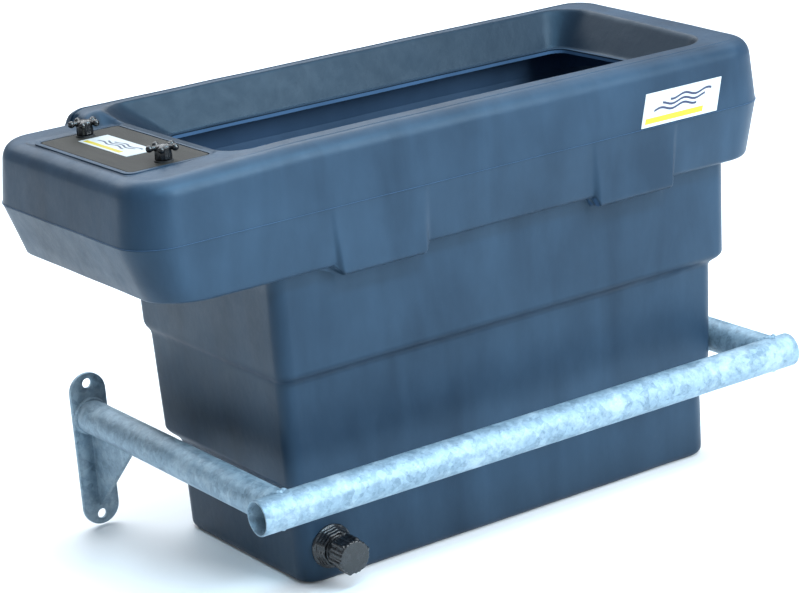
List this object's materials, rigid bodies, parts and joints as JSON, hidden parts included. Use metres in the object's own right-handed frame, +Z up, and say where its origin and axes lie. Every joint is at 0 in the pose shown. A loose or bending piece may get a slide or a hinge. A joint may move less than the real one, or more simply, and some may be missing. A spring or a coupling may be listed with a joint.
{
  "type": "livestock drinking trough",
  "caption": "Deep one-piece plastic livestock drinking trough with a lidded float valve compartment, a front drain and a galvanised tube guard that bolts to the wall.",
  "frame": {"origin": "on the floor, under the middle of the bounding box of the trough and its guard", "axes": "+X along the trough away from the lid, +Y towards the wall, +Z up"},
  "size_m": [1.284, 0.6843, 0.7875],
  "materials": {
    "tank_polyethylene": "satin, rotationally moulded",
    "lid_polyethylene": "matte, fine moulded grain",
    "knob_plastic": "gloss",
    "drain_plastic": "satin gloss",
    "galvanised_steel": "hot-dip galvanised, spangled",
    "weld_zinc": "galvanised weld",
    "zinc_plated_steel": "zinc plated",
    "stainless_steel": "turned",
    "brass": "turned, satin",
    "rubber_seal": "matte",
    "label_film": "gloss film",
    "float_plastic": "satin"
  },
  "bodies": {
    "trough": {"tank": "tank_polyethylene", "front_label": "label_film", "knob_insert_back": "brass", "knob_insert_front": "brass", "guard_front_tube": "galvanised_steel", "guard_arm_left": "galvanised_steel", "guard_arm_right": "galvanised_steel", "wall_plate_left": "galvanised_steel", "wall_plate_right": "galvanised_steel", "gusset_left": "galvanised_steel", "gusset_right": "galvanised_steel", "guard_welds": "weld_zinc", "drain_body": "drain_plastic", "drain_gasket": "rubber_seal", "drain_nut": "drain_plastic", "inlet_tail": "brass", "inlet_washers": "rubber_seal", "inlet_nuts": "brass", "valve_body": "brass", "pivot_pin": "stainless_steel"},
    "lid": {"lid_cover": "lid_polyethylene", "lid_label": "label_film", "knob_washer_back": "rubber_seal", "knob_washer_front": "rubber_seal"},
    "knob_back": {"knob_back": "knob_plastic", "knob_stud_back": "zinc_plated_steel"},
    "knob_front": {"knob_front": "knob_plastic", "knob_stud_front": "zinc_plated_steel"},
    "cap_seal": {"drain_cap_seal": "rubber_seal"},
    "drain_cap": {"drain_cap": "drain_plastic"},
    "piston": {"valve_piston": "brass"},
    "float_arm": {"valve_lever": "brass", "float_rod": "stainless_steel", "float_nut": "brass", "float_ball": "float_plastic"}
  },
  "joints": [
    {"name": "lid_lift", "type": "slide", "parent": "trough", "child": "lid", "axis": [0, 0, 1], "range_m": [0, 0.12]},
    {"name": "knob_back_turn", "type": "hinge", "parent": "lid", "child": "knob_back", "pos_m": [-0.512, 0.145, 0.76], "axis": [0, 0, 1], "continuous": true},
    {"name": "knob_front_turn", "type": "hinge", "parent": "lid", "child": "knob_front", "pos_m": [-0.512, -0.119, 0.76], "axis": [0, 0, 1], "continuous": true},
    {"name": "cap_travel", "type": "slide", "parent": "trough", "child": "cap_seal", "axis": [0, -1, 0], "range_m": [0, 0.0281]},
    {"name": "cap_turn", "type": "hinge", "parent": "cap_seal", "child": "drain_cap", "pos_m": [-0.308, -0.216, 0.062], "axis": [0, -1, 0], "range_deg": [0, 2520]},
    {"name": "float_lift", "type": "hinge", "parent": "trough", "child": "float_arm", "pos_m": [-0.54, 0.121, 0.64], "axis": [-1, 0, 0], "range_deg": [0, 20]},
    {"name": "piston_slide", "type": "slide", "parent": "trough", "child": "piston", "axis": [0, 1, 0], "range_m": [0, 0.0078]}
  ],
  "couplings": [
    {"joint": "cap_travel", "follows": "cap_turn", "m_per_rad": 0.00063662},
    {"joint": "piston_slide", "follows": "float_lift", "m_per_rad": 0.022}
  ]
}
